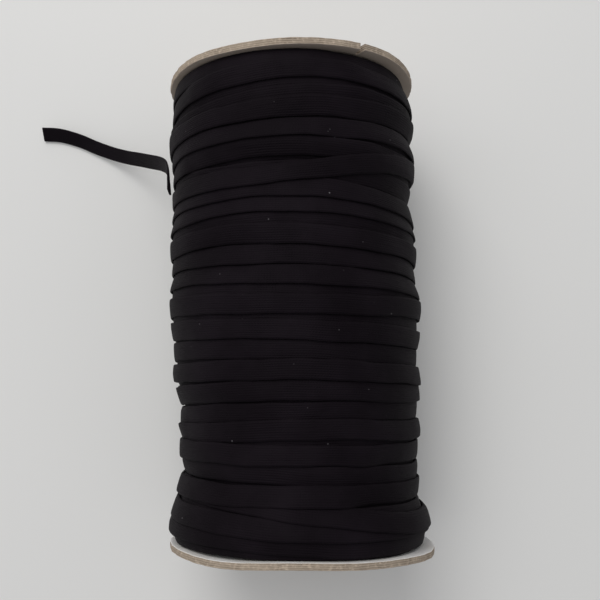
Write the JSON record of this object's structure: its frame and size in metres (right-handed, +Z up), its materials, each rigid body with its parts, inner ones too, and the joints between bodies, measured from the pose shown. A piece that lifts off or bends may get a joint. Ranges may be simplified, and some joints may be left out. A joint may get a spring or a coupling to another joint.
{
  "type": "reel of elastic",
  "caption": "Reel of flat black braided elastic wound between two round card discs, lying on its side with a short loose end.",
  "frame": {"origin": "on the surface under the middle of the reel, which lies on its side", "axes": "+Y along the reel's axis from the base disc to the top disc, +Z up, +X to the right when seen from above"},
  "size_m": [0.1452, 0.1599, 0.0853],
  "materials": {
    "elastic": "matt black flat braid",
    "card": "raw grey board with a white paper face inside"
  },
  "bodies": {
    "root": {"winding": "elastic", "loose_end": "elastic", "flange_top": "card", "flange_base": "card"}
  },
  "joints": []
}
